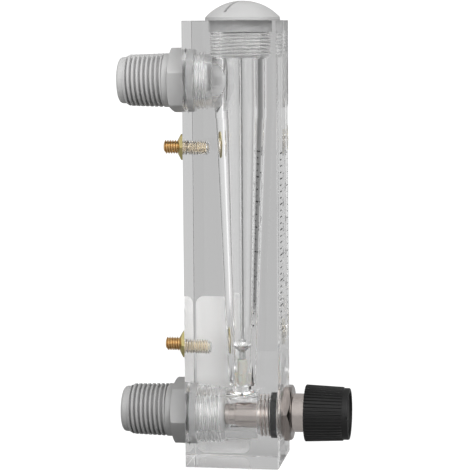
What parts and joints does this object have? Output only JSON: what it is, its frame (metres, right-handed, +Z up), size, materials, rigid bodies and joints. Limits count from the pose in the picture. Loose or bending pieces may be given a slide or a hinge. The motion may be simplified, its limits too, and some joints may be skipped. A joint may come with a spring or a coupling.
{
  "type": "liquid flow meter",
  "caption": "Clear block flow meter with a float in a tapered bore, threaded pipe fittings and mounting studs at the back and a control valve with a ribbed knob.",
  "frame": {"origin": "centre of the clear block's bottom face", "axes": "+Z up along the block, -Y towards the scale face and the knob, +Y towards the pipe fittings and mounting studs"},
  "size_m": [0.0341, 0.0903, 0.1806],
  "materials": {
    "clear_acrylic": "clear polished",
    "grey_plastic": "moulded satin",
    "cream_plastic": "moulded satin",
    "black_plastic": "moulded satin",
    "white_film": "satin film",
    "grey_rubber": "matte",
    "black_rubber": "matte",
    "stainless_steel": "ground",
    "nickel_plate": "nickel plated, turned",
    "brass": "turned",
    "yellow_zinc": "yellow zinc plate"
  },
  "bodies": {
    "housing": {"body_block": "clear_acrylic", "top_plug": "grey_plastic", "top_plug_seal": "grey_rubber", "guide_rod": "stainless_steel", "rod_seat": "cream_plastic", "outlet_fitting": "grey_plastic", "outlet_fitting_seal": "grey_rubber", "inlet_fitting": "grey_plastic", "inlet_fitting_seal": "grey_rubber", "upper_stud": "brass", "upper_stud_nut": "yellow_zinc", "lower_stud": "brass", "lower_stud_nut": "yellow_zinc", "valve_bonnet": "nickel_plate", "bonnet_seal": "black_rubber", "side_label": "white_film"},
    "float": {"float": "stainless_steel"},
    "swivel_plug": {"valve_plug": "nickel_plate", "seat_pad": "black_rubber", "plug_retainer": "stainless_steel"},
    "spindle": {"spindle": "nickel_plate", "spindle_seal": "black_rubber", "knob": "black_plastic", "knob_insert": "brass", "knob_washer": "stainless_steel", "knob_screw": "stainless_steel", "knob_cap": "black_plastic"}
  },
  "joints": [
    {"name": "float_rise", "type": "slide", "parent": "housing", "child": "float", "axis": [0, 0, 1], "range_m": [0, 0.11]},
    {"name": "valve_lift", "type": "slide", "parent": "housing", "child": "swivel_plug", "axis": [0, -1, 0], "range_m": [0, 0.004]},
    {"name": "knob_turn", "type": "hinge", "parent": "swivel_plug", "child": "spindle", "pos_m": [0, -0.03, 0.0192], "axis": [0, -1, 0], "range_deg": [0, 1440]}
  ],
  "couplings": [
    {"joint": "knob_turn", "follows": "valve_lift", "rad_per_m": 6283.2}
  ]
}
